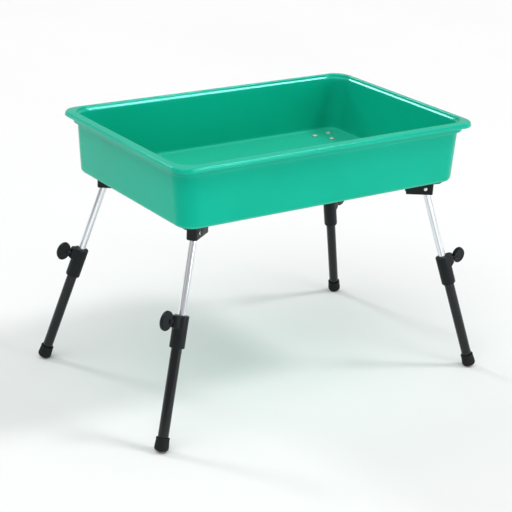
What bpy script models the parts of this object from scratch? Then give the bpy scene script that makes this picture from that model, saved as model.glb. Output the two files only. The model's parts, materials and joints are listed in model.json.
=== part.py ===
"""A folding fishing table: a moulded bait tub on four telescopic, folding legs.

Metres, +Z up, the origin on the ground under the middle of the tub. +X is the long side and the
front is at -Y. Each leg hangs on a pivot pin in a bracket under its corner of the tub. It folds
inward, telescopes, and is locked by a clamp screw with a paddle knob.
"""

import math

import bmesh
import bpy
from mathutils import Matrix, Vector

MM = 0.001
SEAT_GAP = 0.3 * MM  # between two pieces that touch
SLIDE_GAP = 0.2 * MM  # on the radius, between pieces that slide or turn in each other

# The tub
RIM_HEIGHT = 478 * MM  # top of the rim above the ground
TUB_LENGTH = 620 * MM
TUB_WIDTH = 400 * MM
TUB_DEPTH = 112 * MM
END_TAPER = 22.5 * MM  # how far each end wall leans in, from the rim's edge to the bottom fillet
SIDE_TAPER = 16 * MM
WALL = 3 * MM
FLOOR = 4 * MM
GUTTER = 1 * MM  # the floor's edge lies this much lower than its middle
GUTTER_WIDTH = 3 * MM
BASE_CORNER = 30 * MM
BASE_FILLET = 9 * MM
INNER_FILLET = 7 * MM
CORNER_STEPS = 6

# The rim, measured inward from the tub's outermost edge, and down from its top
RIM_REACH = 14 * MM
RIM_CORNER = 28 * MM
MOUTH_CORNER = 34 * MM
RIM_FALL = 1.8 * MM  # how much lower the rim's outer edge lies than its mouth
RIM_DISH = 0.5 * MM
OUTER_EDGE = 3.2 * MM
MOUTH_EDGE = 2.8 * MM
LIP_LEAN = 0.8 * MM
LIP_WALL = 3 * MM
LIP_DROP = 10.5 * MM
HEM_RADIUS = 2.3 * MM
SKIRT_REACH = 10 * MM
SKIRT_DROP = 20 * MM
SKIRT_EDGE = 1.5 * MM
SKIRT_LAP = 0.4 * MM  # how much nearer the wall's outside lies to the rim than its inside needs
SHOULDER_DROP = 4.5 * MM
SHOULDER_WIDTH = 3.4 * MM
SHOULDER_HEIGHT = 4.2 * MM
SHOULDER_CURVE = ((0.1, 0.0), (0.35, 0.4), (0.8, 0.65), (1.0, 1.0))  # shares of its width and height

# Where the legs hang
PIVOT_FROM_END = 42.5 * MM  # inward from the bottom's outside
PIVOT_FROM_SIDE = 36.5 * MM
PIVOT_DROP = 17 * MM  # below the tub's underside
SPLAY = math.radians(18)  # of a standing leg from upright
SPREAD = math.radians(34)  # of a leg's folding plane from the long side

# The inner tube and what is in its ends
INNER_RADIUS = 6.35 * MM
INNER_WALL = 1.2 * MM
INNER_TOP = 9 * MM  # below the pivot, along the leg
INNER_END = 250 * MM
PLUG_LENGTH = 18 * MM
BUSH_FLANGE = 5.5 * MM  # its height
BUSH_PLUG = 12 * MM

# The outer tube and its foot
TUBE_SPACE = 1.15 * MM  # between the two tubes
OUTER_WALL = 1.5 * MM
COLLAR_TOP = 138 * MM  # below the pivot, along the leg
COLLAR_LENGTH = 54 * MM
SOCKET_LENGTH = 32 * MM  # how far the outer tube goes into the collar
FOOT_LENGTH = 22.5 * MM
FOOT_SOLE = 7.8 * MM
FOOT_WALL = 2.3 * MM
FOOT_FLARE = 0.6 * MM
FOOT_EDGE = 5 * MM

# The collar and its clamp
COLLAR_WALL = 3.5 * MM
COLLAR_EDGE = 1.2 * MM
BOSS_RADIUS = 8 * MM
BOSS_REACH = 20 * MM
BOSS_LENGTH = 19 * MM
BOSS_TAPER = 6 * MM
BOSS_STEP = 0.4 * MM  # the boss's top below the collar's
CLAMP_DROP = 10 * MM  # the screw's axis below the collar's top
CLAMP_TURN = math.radians(24)  # of the screw from straight outward, toward the short side
SCREW_RADIUS = 3 * MM
SCREW_IN_KNOB = 8 * MM
NUT_ACROSS_FLATS = 10 * MM
NUT_HEIGHT = 5 * MM
NUT_DEPTH = 3 * MM  # of the nut's inner face from the inner tube
NECK_RADIUS = 5.8 * MM
NECK_IN_PADDLE = 8 * MM
PADDLE_LENGTH = 34 * MM
PADDLE_WIDTH = 24 * MM
PADDLE_THICKNESS = 8.5 * MM
PADDLE_EDGE = 3 * MM
KNOB_TURNS = {"front_left": -6, "front_right": 25, "back_left": 0, "back_right": 15}  # degrees

# The bracket, measured from the pivot
PLATE_THICKNESS = 5 * MM
PLATE_EDGE = 1 * MM
RIVET_INWARD = 24 * MM
RIVET_ASIDE = 17.5 * MM
RIVET_OUTWARD = 7.5 * MM
LOBE_RADIUS = 12 * MM
NOSE_LOBE = 15 * MM
NOSE_LOBE_RADIUS = 14.5 * MM
CHANNEL_INWARD = 34.5 * MM
CHANNEL_OUTWARD = 14.5 * MM
CHANNEL_DEPTH = 28 * MM  # below the tub's underside
CHANNEL_CORNER = 5 * MM
CHEEK = 2.7 * MM
TUBE_PLAY = 0.45 * MM  # beside the tube, in the channel

# Rivets and pins
PIN_RADIUS = 2.25 * MM
PIN_HEAD_RADIUS = 3.3 * MM
PIN_HEAD_HEIGHT = 1.5 * MM
RIVET_RADIUS = 2 * MM
RIVET_HEAD_RADIUS = 6 * MM
RIVET_HEAD_HEIGHT = 1.9 * MM
RIVET_SEAT_EDGE = 0.6 * MM  # of the raised seat on the tub's floor, beyond the head
RIVET_SEAT_HEIGHT = 0.4 * MM
RIVET_TAIL_RADIUS = 3.3 * MM
RIVET_TAIL_HEIGHT = 1.6 * MM

ROUND_STEPS = 20
SMALL_STEPS = 12
SMOOTH_ANGLE = math.radians(35)
WELD = 0.005 * MM
CORNERS = {
    "front_left": (-1, -1),
    "front_right": (1, -1),
    "back_left": (-1, 1),
    "back_right": (1, 1),
}

# Sizes that follow from those above
BASE_LENGTH = TUB_LENGTH - 2 * END_TAPER
BASE_WIDTH = TUB_WIDTH - 2 * SIDE_TAPER
PIVOT_X = BASE_LENGTH / 2 - PIVOT_FROM_END
PIVOT_Y = BASE_WIDTH / 2 - PIVOT_FROM_SIDE
UNDERSIDE = RIM_HEIGHT - TUB_DEPTH
PIVOT_HEIGHT = UNDERSIDE - PIVOT_DROP
SLOT_HALF = INNER_RADIUS + TUBE_PLAY
CHANNEL_HALF = SLOT_HALF + CHEEK
PLATE_LOW = PIVOT_DROP - SEAT_GAP - PLATE_THICKNESS  # above the pivot
PLUG_RADIUS = INNER_RADIUS - INNER_WALL - SEAT_GAP
OUTER_RADIUS = INNER_RADIUS + TUBE_SPACE + OUTER_WALL
OUTER_TOP = COLLAR_TOP + COLLAR_LENGTH - SOCKET_LENGTH
COLLAR_RADIUS = OUTER_RADIUS + SEAT_GAP + COLLAR_WALL
FOOT_TOP_RADIUS = OUTER_RADIUS + SEAT_GAP + FOOT_WALL
FOOT_RADIUS = FOOT_TOP_RADIUS + FOOT_FLARE
NUT_SEAT = INNER_RADIUS + NUT_DEPTH


def foot_end():
    """Distance from the pivot to the foot's end, so that its round edge meets the ground."""
    across = (FOOT_RADIUS - FOOT_EDGE) * math.sin(SPLAY)
    return (PIVOT_HEIGHT - FOOT_EDGE - across) / math.cos(SPLAY) + FOOT_EDGE


def clear_scene():
    for obj in list(bpy.data.objects):
        bpy.data.objects.remove(obj)


def new_collection(name, hidden=False):
    collection = bpy.data.collections.new(name)
    collection.hide_render = hidden
    bpy.context.scene.collection.children.link(collection)
    return collection


def new_material(name, colour, roughness, metallic=0.0):
    material = bpy.data.materials.new(name)
    material.use_nodes = True
    shader = material.node_tree.nodes["Principled BSDF"]
    shader.inputs["Base Color"].default_value = (*colour, 1.0)
    shader.inputs["Roughness"].default_value = roughness
    shader.inputs["Metallic"].default_value = metallic
    return material


def new_object(name, mesh, material, parent=None):
    """A part of the table, in its parent empty's frame."""
    obj = bpy.data.objects.new(name, mesh)
    mesh.materials.append(material)
    TABLE.objects.link(obj)
    obj.parent = parent
    return obj


def new_empty(name, matrix, parent=None):
    empty = bpy.data.objects.new(name, None)
    empty.empty_display_size = 20 * MM
    TABLE.objects.link(empty)
    empty.parent = parent
    empty.matrix_local = matrix
    return empty


def mesh_of(build):
    """A mesh from a function that fills a bmesh."""
    shape = bmesh.new()
    build(shape)
    bmesh.ops.recalc_face_normals(shape, faces=shape.faces)
    mesh = bpy.data.meshes.new("shape")
    shape.to_mesh(mesh)
    shape.free()
    return mesh


def smooth(obj):
    obj.data.shade_smooth()
    obj.data.set_sharp_from_angle(angle=SMOOTH_ANGLE)


def turned(name, profile, material, parent=None, steps=ROUND_STEPS, hollow=False):
    """A turned piece round its own Z, from (radius, height) points that run down its outer side."""

    def build(shape):
        points = [shape.verts.new((radius, 0, height)) for radius, height in profile]
        for upper, lower in zip(points, points[1:]):
            shape.edges.new((upper, lower))
        if hollow:
            shape.edges.new((points[-1], points[0]))

    obj = new_object(name, mesh_of(build), material, parent)
    turn = obj.modifiers.new("Turn", "SCREW")
    turn.axis = "Z"
    turn.steps = steps
    turn.render_steps = steps
    turn.use_merge_vertices = True
    turn.merge_threshold = WELD
    turn.use_smooth_shade = True
    return obj


def add_cylinder(shape, radius, low, high, steps=ROUND_STEPS, centre=(0, 0)):
    made = bmesh.ops.create_cone(
        shape,
        cap_ends=True,
        segments=steps,
        radius1=radius,
        radius2=radius,
        depth=high - low,
        matrix=Matrix.Translation((*centre, (low + high) / 2)),
    )
    return made["verts"]


def add_box(shape, low, high):
    middle = (Vector(low) + Vector(high)) / 2
    size = Vector(high) - Vector(low)
    made = bmesh.ops.create_cube(shape, matrix=Matrix.Translation(middle) @ Matrix.Diagonal((*size, 1)))
    return made["verts"]


def wrap(shape):
    """Makes the shape its own convex hull, with its flat faces whole."""
    hull = bmesh.ops.convex_hull(shape, input=shape.verts)
    spare = [item for item in hull["geom_interior"] if isinstance(item, bmesh.types.BMVert)]
    bmesh.ops.delete(shape, geom=spare, context="VERTS")
    bmesh.ops.dissolve_limit(
        shape, angle_limit=math.radians(0.05), verts=shape.verts, edges=shape.edges
    )


def edges_where(shape, test):
    """Edges whose two ends both pass the test."""
    return [edge for edge in shape.edges if all(test(corner.co) for corner in edge.verts)]


def round_off(shape, edges, radius, segments=3):
    bmesh.ops.bevel(
        shape, geom=edges, offset=radius, segments=segments, profile=0.5, affect="EDGES"
    )


def new_cutter(name, mesh, parent=None, matrix=None):
    """A solid that a Boolean takes away or joins on, and that isn't part of the table itself."""
    cutter = bpy.data.objects.new(name, mesh)
    CUTTERS.objects.link(cutter)
    cutter.hide_render = True
    cutter.display_type = "WIRE"
    cutter.parent = parent
    if matrix is not None:
        cutter.matrix_local = matrix
    return cutter


def combine(obj, other, operation, solver="EXACT"):
    modifier = obj.modifiers.new(operation.title(), "BOOLEAN")
    modifier.operation = operation
    modifier.solver = solver
    modifier.object = other


def facing(direction, up, origin=(0, 0, 0)):
    """A frame at origin whose Z points along direction, and whose X is as near to up as it can be."""
    z = Vector(direction).normalized()
    y = z.cross(Vector(up)).normalized()
    frame = Matrix((y.cross(z), y, z)).transposed().to_4x4()
    frame.translation = origin
    return frame


def outline(length, width, corner, height):
    """Points of a level rectangle with round corners, counter-clockwise from its +X side."""
    points = []
    for turn, (side_x, side_y) in enumerate(((1, 1), (-1, 1), (-1, -1), (1, -1))):
        for step in range(CORNER_STEPS + 1):
            angle = (turn + step / CORNER_STEPS) * math.pi / 2
            x = side_x * (length / 2 - corner) + corner * math.cos(angle)
            y = side_y * (width / 2 - corner) + corner * math.sin(angle)
            points.append((x, y, height))
    return points


def arc(centre, radius, start, end, steps):
    """Points round a centre, with angles in degrees: 0 points inward and 90 points down."""
    for step in range(steps + 1):
        angle = math.radians(start + (end - start) * step / steps)
        yield centre[0] + radius * math.cos(angle), centre[1] + radius * math.sin(angle)


def rim_ring(inward, drop):
    """The tub's outline at a place on the rim. Its corner grows from the rim's to the mouth's."""
    share = inward / RIM_REACH
    corner = RIM_CORNER + (MOUTH_CORNER - RIM_CORNER) * share
    return outline(TUB_LENGTH - 2 * inward, TUB_WIDTH - 2 * inward, corner, RIM_HEIGHT - drop)


def base_ring(inward, drop):
    """The tub's outline near its bottom, measured inward from the base's own outside."""
    corner = BASE_CORNER - inward
    return outline(BASE_LENGTH - 2 * inward, BASE_WIDTH - 2 * inward, corner, RIM_HEIGHT - drop)


def tub_rings():
    """The tub's outlines in order: up its outside, over the rim, and down its inside."""
    rings = []
    low = TUB_DEPTH - BASE_FILLET
    for inward, drop in arc((BASE_FILLET, low), BASE_FILLET, 90, 180, 4):
        rings.append(base_ring(inward, drop))

    wall_reach = RIM_REACH + SHOULDER_WIDTH - WALL + SKIRT_LAP
    lip_inside = LIP_LEAN + LIP_WALL
    hem = (HEM_RADIUS, LIP_DROP - HEM_RADIUS)
    outer_edge = (LIP_LEAN + OUTER_EDGE, RIM_FALL + OUTER_EDGE)
    mouth_edge = (RIM_REACH - MOUTH_EDGE, MOUTH_EDGE)
    profile = [
        (wall_reach, SKIRT_DROP),
        (SKIRT_REACH + SKIRT_EDGE, SKIRT_DROP),
        (SKIRT_REACH, SKIRT_DROP - SKIRT_EDGE),
        (SKIRT_REACH, WALL + RIM_FALL),
        (lip_inside, WALL + RIM_FALL),
        (lip_inside, hem[1] - SKIRT_EDGE),
        *arc(hem, HEM_RADIUS, 0, 180, 5),
        *arc(outer_edge, OUTER_EDGE, 180, 270, 4),
        ((outer_edge[0] + mouth_edge[0]) / 2, RIM_FALL / 2 + RIM_DISH),
        *arc(mouth_edge, MOUTH_EDGE, -90, 0, 4),
    ]
    for across, down in SHOULDER_CURVE:
        profile.append((RIM_REACH + SHOULDER_WIDTH * across, SHOULDER_DROP + SHOULDER_HEIGHT * down))
    for inward, drop in profile:
        rings.append(rim_ring(inward, drop))

    gutter = TUB_DEPTH - FLOOR + GUTTER
    fillet = (WALL + INNER_FILLET, gutter - INNER_FILLET)
    for inward, drop in arc(fillet, INNER_FILLET, 180, 90, 4):
        rings.append(base_ring(inward, drop))
    edge = fillet[0] + GUTTER_WIDTH
    rings.append(base_ring(edge, gutter))
    rings.append(base_ring(edge + GUTTER, gutter - GUTTER))
    return rings


def make_tub():
    """The tub is one moulding, lofted through unlike outlines and closed at its floor."""

    def build(shape):
        rings = [[shape.verts.new(point) for point in ring] for ring in tub_rings()]
        for lower, upper in zip(rings, rings[1:]):
            for i in range(len(lower)):
                j = (i + 1) % len(lower)
                shape.faces.new((lower[i], lower[j], upper[j], upper[i]))
        shape.faces.new(rings[0])
        shape.faces.new(rings[-1])

    tub = new_object("tub", mesh_of(build), GREEN_PLASTIC)
    smooth(tub)
    return tub


def leg_frames(side_x, side_y):
    """The upright frame at a corner's pivot and the leg's own, both with X outward and Y along the pin."""
    outward = Vector((side_x * math.cos(SPREAD), side_y * math.sin(SPREAD), 0))
    up = Vector((0, 0, 1))
    pivot = (side_x * PIVOT_X, side_y * PIVOT_Y, PIVOT_HEIGHT)
    upright = facing(up, outward, pivot)
    leaning = upright @ Matrix.Rotation(-SPLAY, 4, "Y")
    return upright, leaning


def rivet_places():
    return ((-RIVET_INWARD, -RIVET_ASIDE), (-RIVET_INWARD, RIVET_ASIDE), (RIVET_OUTWARD, 0))


def make_bracket(corner, upright):
    """A flange under the tub's floor, with a channel that holds the leg between two cheeks."""
    low = PIVOT_DROP - CHANNEL_DEPTH

    def plate(shape):
        lobes = [(place, LOBE_RADIUS) for place in rivet_places()[:2]]
        lobes.append(((NOSE_LOBE, 0), NOSE_LOBE_RADIUS))
        for centre, radius in lobes:
            add_cylinder(shape, radius, PLATE_LOW, PLATE_LOW + PLATE_THICKNESS, centre=centre)
        wrap(shape)
        rim = edges_where(shape, lambda co: abs(co.z - PLATE_LOW) < WELD)
        round_off(shape, rim, PLATE_EDGE, segments=1)

    def channel(shape):
        top = PLATE_LOW + PLATE_THICKNESS / 2
        add_box(shape, (-CHANNEL_INWARD, -CHANNEL_HALF, low), (CHANNEL_OUTWARD, CHANNEL_HALF, top))
        nose = edges_where(shape, lambda co: co.x > 0)
        upright_nose = [edge for edge in nose if abs(edge.verts[0].co.z - edge.verts[1].co.z) > WELD]
        round_off(shape, upright_nose, CHANNEL_CORNER, segments=4)
        round_off(shape, edges_where(shape, lambda co: co.z < low + WELD), CHANNEL_CORNER / 3, segments=2)

    def slot(shape):
        """The gap for the leg. Its outer end leans like a standing leg, which rests on it."""
        stop = (INNER_RADIUS + SEAT_GAP) / math.cos(SPLAY)
        far = CHANNEL_INWARD + CHANNEL_CORNER
        below = low - CHANNEL_CORNER
        tail = RIVET_OUTWARD + RIVET_TAIL_RADIUS + SEAT_GAP
        side = [
            (-far, PLATE_LOW),
            (tail, PLATE_LOW),
            (tail, PLATE_LOW - RIVET_TAIL_HEIGHT - 2 * SEAT_GAP),
            (stop, 0),
            (stop - below * math.tan(SPLAY), below),
            (-far, below),
        ]
        near = [shape.verts.new((x, -SLOT_HALF, z)) for x, z in side]
        face = shape.faces.new(near)
        moved = bmesh.ops.extrude_face_region(shape, geom=[face])
        raised = [item for item in moved["geom"] if isinstance(item, bmesh.types.BMVert)]
        bmesh.ops.translate(shape, verts=raised, vec=(0, 2 * SLOT_HALF, 0))

    def holes(shape):
        for centre in rivet_places():
            add_cylinder(
                shape, RIVET_RADIUS + SEAT_GAP, PLATE_LOW - PLATE_THICKNESS,
                PIVOT_DROP + PLATE_THICKNESS, steps=SMALL_STEPS, centre=centre,
            )
        pin = add_cylinder(
            shape, PIN_RADIUS + SLIDE_GAP, -2 * CHANNEL_HALF, 2 * CHANNEL_HALF, steps=SMALL_STEPS
        )
        bmesh.ops.rotate(shape, verts=pin, matrix=Matrix.Rotation(math.pi / 2, 3, "X"))

    bracket = new_object(f"{corner}_bracket", mesh_of(plate), BLACK_PLASTIC, upright)
    combine(bracket, new_cutter(f"{corner}_channel", mesh_of(channel), upright), "UNION")
    combine(bracket, new_cutter(f"{corner}_slot", mesh_of(slot), upright), "DIFFERENCE")
    combine(bracket, new_cutter(f"{corner}_bracket_holes", mesh_of(holes), upright), "DIFFERENCE")


def make_rivets(corner, upright, tub):
    """Three rivets hold the bracket to the tub. Their wide heads sit on low seats on its floor."""
    seat_top = PIVOT_DROP + FLOOR + RIVET_SEAT_HEIGHT
    top = seat_top + SEAT_GAP
    foot = PLATE_LOW - SEAT_GAP
    profile = [
        (0, top + RIVET_HEAD_HEIGHT),
        (RIVET_HEAD_RADIUS * 0.75, top + RIVET_HEAD_HEIGHT * 0.7),
        (RIVET_HEAD_RADIUS, top),
        (RIVET_RADIUS, top),
        (RIVET_RADIUS, foot),
        (RIVET_TAIL_RADIUS, foot),
        (RIVET_TAIL_RADIUS * 0.8, foot - RIVET_TAIL_HEIGHT * 0.8),
        (0, foot - RIVET_TAIL_HEIGHT),
    ]

    def seats(shape):
        for centre in rivet_places():
            add_cylinder(
                shape, RIVET_HEAD_RADIUS + RIVET_SEAT_EDGE, PIVOT_DROP + FLOOR / 2, seat_top,
                steps=SMALL_STEPS, centre=centre,
            )

    def holes(shape):
        for centre in rivet_places():
            add_cylinder(
                shape, RIVET_RADIUS + SEAT_GAP, PIVOT_DROP - FLOOR, PIVOT_DROP + 2 * FLOOR,
                steps=SMALL_STEPS, centre=centre,
            )

    for number, place in enumerate(rivet_places(), start=1):
        rivet = turned(f"{corner}_rivet_{number}", profile, STEEL, upright, SMALL_STEPS)
        rivet.location = (*place, 0)
    combine(tub, new_cutter(f"{corner}_rivet_seats", mesh_of(seats), upright), "UNION")
    combine(tub, new_cutter(f"{corner}_floor_holes", mesh_of(holes), upright), "DIFFERENCE")


def make_pivot_pin(corner, upright):
    """The riveted pin that the leg folds on."""
    half = CHANNEL_HALF + SEAT_GAP
    head = half + PIN_HEAD_HEIGHT
    profile = [
        (0, head),
        (PIN_HEAD_RADIUS * 0.7, half + PIN_HEAD_HEIGHT * 0.75),
        (PIN_HEAD_RADIUS, half),
        (PIN_RADIUS, half),
        (PIN_RADIUS, -half),
        (PIN_HEAD_RADIUS, -half),
        (PIN_HEAD_RADIUS * 0.7, -half - PIN_HEAD_HEIGHT * 0.75),
        (0, -head),
    ]
    pin = turned(f"{corner}_pivot_pin", profile, STEEL, upright, SMALL_STEPS)
    pin.rotation_euler = (math.pi / 2, 0, 0)


def make_knuckle(corner, leg):
    """The eye round the pivot pin, with a plug that is pressed into the inner tube's top."""

    def eye(shape):
        barrel = add_cylinder(shape, INNER_RADIUS, -INNER_RADIUS, INNER_RADIUS)
        bmesh.ops.rotate(shape, verts=barrel, matrix=Matrix.Rotation(math.pi / 2, 3, "X"))

    def bore(shape):
        pin = add_cylinder(
            shape, PIN_RADIUS + SLIDE_GAP, -2 * INNER_RADIUS, 2 * INNER_RADIUS, steps=SMALL_STEPS
        )
        bmesh.ops.rotate(shape, verts=pin, matrix=Matrix.Rotation(math.pi / 2, 3, "X"))

    shoulder = -INNER_TOP + SEAT_GAP
    profile = [
        (0, 0),
        (INNER_RADIUS, 0),
        (INNER_RADIUS, shoulder),
        (PLUG_RADIUS, shoulder),
        (PLUG_RADIUS, -INNER_TOP - PLUG_LENGTH),
        (0, -INNER_TOP - PLUG_LENGTH),
    ]
    knuckle = turned(f"{corner}_knuckle", profile, BLACK_PLASTIC, leg)
    combine(knuckle, new_cutter(f"{corner}_eye", mesh_of(eye), leg), "UNION")
    combine(knuckle, new_cutter(f"{corner}_pin_bore", mesh_of(bore), leg), "DIFFERENCE")


def make_inner_tube(corner, leg):
    inside = INNER_RADIUS - INNER_WALL
    profile = [
        (INNER_RADIUS, -INNER_TOP),
        (INNER_RADIUS, -INNER_END),
        (inside, -INNER_END),
        (inside, -INNER_TOP),
    ]
    turned(f"{corner}_inner_tube", profile, ALUMINIUM, leg, hollow=True)


def make_guide_bush(corner, leg):
    """A bush on the inner tube's lower end, which runs in the outer tube."""
    flange = OUTER_RADIUS - OUTER_WALL - SLIDE_GAP
    top = -INNER_END - SEAT_GAP
    profile = [
        (0, -INNER_END + BUSH_PLUG),
        (PLUG_RADIUS, -INNER_END + BUSH_PLUG),
        (PLUG_RADIUS, top),
        (flange, top),
        (flange, top - BUSH_FLANGE),
        (0, top - BUSH_FLANGE),
    ]
    turned(f"{corner}_guide_bush", profile, BLACK_PLASTIC, leg)


def make_outer_tube(corner, leg):
    inside = OUTER_RADIUS - OUTER_WALL
    top = -OUTER_TOP - SEAT_GAP
    end = -foot_end() + FOOT_SOLE + SEAT_GAP
    profile = [(OUTER_RADIUS, top), (OUTER_RADIUS, end), (inside, end), (inside, top)]
    turned(f"{corner}_outer_tube", profile, BLACK_COATING, leg, hollow=True)


def make_foot(corner, leg):
    """A rubber cup that the outer tube is pushed into."""
    end = -foot_end()
    top = end + FOOT_LENGTH
    inside = OUTER_RADIUS + SEAT_GAP
    edge = [
        (
            FOOT_RADIUS - FOOT_EDGE + FOOT_EDGE * math.cos(angle),
            end + FOOT_EDGE - FOOT_EDGE * math.sin(angle),
        )
        for angle in (math.radians(90 * step / 4) for step in range(5))
    ]
    profile = [
        (0, end + FOOT_SOLE),
        (inside, end + FOOT_SOLE),
        (inside, top),
        (FOOT_TOP_RADIUS, top),
        *edge,
        (0, end),
    ]
    turned(f"{corner}_foot", profile, RUBBER, leg)


def make_collar(corner, leg, clamp):
    """The moulded head of the outer tube: a socket for it, and a boss for the clamp screw.

    Its joins use the Manifold solver, because the Exact one leaves gaps where the screw hole meets
    the nut's pocket.
    """
    top = -COLLAR_TOP
    bottom = top - COLLAR_LENGTH
    shoulder = -OUTER_TOP
    profile = [
        (0, top),
        (COLLAR_RADIUS - COLLAR_EDGE, top),
        (COLLAR_RADIUS, top - COLLAR_EDGE),
        (COLLAR_RADIUS, bottom + COLLAR_EDGE),
        (COLLAR_RADIUS - COLLAR_EDGE, bottom),
        (0, bottom),
    ]

    def boss(shape):
        """A hull round the screw's axis. Its X runs up the leg and its Z outward."""
        centre = BOSS_REACH - BOSS_RADIUS
        root = COLLAR_RADIUS - 2 * COLLAR_EDGE
        upper = CLAMP_DROP - BOSS_STEP
        lower = upper - BOSS_LENGTH
        rings = [
            (centre, BOSS_RADIUS, upper),
            (centre, BOSS_RADIUS, lower),
            (0, root, upper),
            (0, root, lower - BOSS_TAPER),
        ]
        for place, radius, height in rings:
            for step in range(ROUND_STEPS):
                angle = 2 * math.pi * step / ROUND_STEPS
                shape.verts.new((height, radius * math.sin(angle), place + radius * math.cos(angle)))
        wrap(shape)

    def nut_pocket(shape):
        """The nut is pushed into its pocket from the tube's side."""
        across_corners = (NUT_ACROSS_FLATS / 2 + SEAT_GAP) / math.cos(math.pi / 6)
        add_cylinder(shape, across_corners, 0, NUT_SEAT + NUT_HEIGHT + SEAT_GAP, steps=6)

    def screw_hole(shape):
        add_cylinder(shape, SCREW_RADIUS + SEAT_GAP, NUT_SEAT, 2 * BOSS_REACH, steps=SMALL_STEPS)

    def outer_way(shape):
        add_cylinder(shape, OUTER_RADIUS + SEAT_GAP, bottom - COLLAR_EDGE, shoulder)

    def inner_way(shape):
        add_cylinder(shape, INNER_RADIUS + SLIDE_GAP, shoulder - COLLAR_EDGE, top + COLLAR_EDGE)

    collar = turned(f"{corner}_collar", profile, BLACK_PLASTIC, leg)
    combine(collar, new_cutter(f"{corner}_boss", mesh_of(boss), clamp), "UNION", "MANIFOLD")
    ways = {
        "outer_way": (outer_way, leg),
        "inner_way": (inner_way, leg),
        "nut_pocket": (nut_pocket, clamp),
        "screw_hole": (screw_hole, clamp),
    }
    for name, (build, parent) in ways.items():
        cutter = new_cutter(f"{corner}_{name}", mesh_of(build), parent)
        combine(collar, cutter, "DIFFERENCE", "MANIFOLD")


def make_clamp(corner, clamp):
    """The nut in the boss, the screw that presses on the inner tube, and its knob."""

    def nut(shape):
        across_corners = NUT_ACROSS_FLATS / 2 / math.cos(math.pi / 6)
        add_cylinder(shape, across_corners, NUT_SEAT, NUT_SEAT + NUT_HEIGHT, steps=6)

    def thread(shape):
        add_cylinder(shape, SCREW_RADIUS + SLIDE_GAP, 0, 2 * BOSS_REACH, steps=SMALL_STEPS)

    neck_face = BOSS_REACH + SEAT_GAP
    screw_end = neck_face + SCREW_IN_KNOB
    screw_tip = INNER_RADIUS + SEAT_GAP
    tip_edge = SCREW_RADIUS * 0.3
    profile = [
        (0, screw_end),
        (SCREW_RADIUS, screw_end),
        (SCREW_RADIUS, screw_tip + tip_edge),
        (SCREW_RADIUS - tip_edge, screw_tip),
        (0, screw_tip),
    ]

    def paddle(shape):
        """An oval disc on edge, with the screw's axis in its plane."""
        half = PADDLE_THICKNESS / 2
        add_cylinder(shape, PADDLE_LENGTH / 2, -half, half)
        round_off(shape, edges_where(shape, lambda co: abs(co.z - half) < WELD), PADDLE_EDGE)
        round_off(shape, edges_where(shape, lambda co: abs(co.z + half) < WELD), PADDLE_EDGE)
        bmesh.ops.scale(shape, verts=shape.verts, vec=(1, PADDLE_WIDTH / PADDLE_LENGTH, 1))
        bmesh.ops.rotate(shape, verts=shape.verts, matrix=Matrix.Rotation(math.pi / 2, 3, "X"))
        middle = neck_face + PADDLE_WIDTH / 2
        bmesh.ops.translate(shape, verts=shape.verts, vec=(0, 0, middle))

    def neck(shape):
        add_cylinder(shape, NECK_RADIUS, neck_face, neck_face + NECK_IN_PADDLE)

    def socket(shape):
        add_cylinder(
            shape, SCREW_RADIUS + SLIDE_GAP, neck_face - BOSS_RADIUS, screw_end + SEAT_GAP,
            steps=SMALL_STEPS,
        )

    clamp_nut = new_object(f"{corner}_clamp_nut", mesh_of(nut), STEEL, clamp)
    combine(clamp_nut, new_cutter(f"{corner}_nut_thread", mesh_of(thread), clamp), "DIFFERENCE")
    turned(f"{corner}_clamp_screw", profile, STEEL, clamp, SMALL_STEPS)

    knob = new_object(f"{corner}_knob", mesh_of(paddle), BLACK_PLASTIC, clamp)
    knob.rotation_euler = (0, 0, math.radians(KNOB_TURNS[corner]))
    combine(knob, new_cutter(f"{corner}_neck", mesh_of(neck), clamp), "UNION")
    combine(knob, new_cutter(f"{corner}_knob_socket", mesh_of(socket), clamp), "DIFFERENCE")
    smooth(knob)


def make_leg(corner, tub):
    side_x, side_y = CORNERS[corner]
    upright_frame, leaning_frame = leg_frames(side_x, side_y)
    upright = new_empty(f"{corner}_pivot", upright_frame)
    leg = new_empty(f"{corner}_leg", leaning_frame)
    turn = -side_x * side_y * CLAMP_TURN
    outward = (math.cos(turn), math.sin(turn), 0)
    clamp_place = (0, 0, -COLLAR_TOP - CLAMP_DROP)
    clamp = new_empty(f"{corner}_clamp", facing(outward, (0, 0, 1), clamp_place), leg)

    make_bracket(corner, upright)
    make_rivets(corner, upright, tub)
    make_pivot_pin(corner, upright)
    make_knuckle(corner, leg)
    make_inner_tube(corner, leg)
    make_guide_bush(corner, leg)
    make_outer_tube(corner, leg)
    make_foot(corner, leg)
    make_collar(corner, leg, clamp)
    make_clamp(corner, clamp)


clear_scene()
TABLE = new_collection("folding_fishing_table")
CUTTERS = new_collection("cutters", hidden=True)
GREEN_PLASTIC = new_material("green_plastic", (0.03, 0.45, 0.30), 0.28)
BLACK_PLASTIC = new_material("black_plastic", (0.012, 0.016, 0.018), 0.42)
BLACK_COATING = new_material("black_coating", (0.010, 0.012, 0.013), 0.3, 0.2)
RUBBER = new_material("rubber", (0.010, 0.010, 0.011), 0.75)
ALUMINIUM = new_material("aluminium", (0.78, 0.81, 0.85), 0.22, 1.0)
STEEL = new_material("steel", (0.70, 0.71, 0.72), 0.25, 1.0)

the_tub = make_tub()
for corner_name in CORNERS:
    make_leg(corner_name, the_tub)
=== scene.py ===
# %% [markdown]
# A folding fishing table, dressed for a photograph.
#
# The table is a moulded tub on four telescopic legs, which fold inward under it. Its working model
# comes first, as a fixed frame of plain solids. This script builds the surface that the eye sees
# around that frame: finer meshes in the same places, and a material for each thing it is made of.

# %% Load the working model
import json
import math

import bmesh
import bpy
from mathutils import Matrix, Vector


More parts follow.
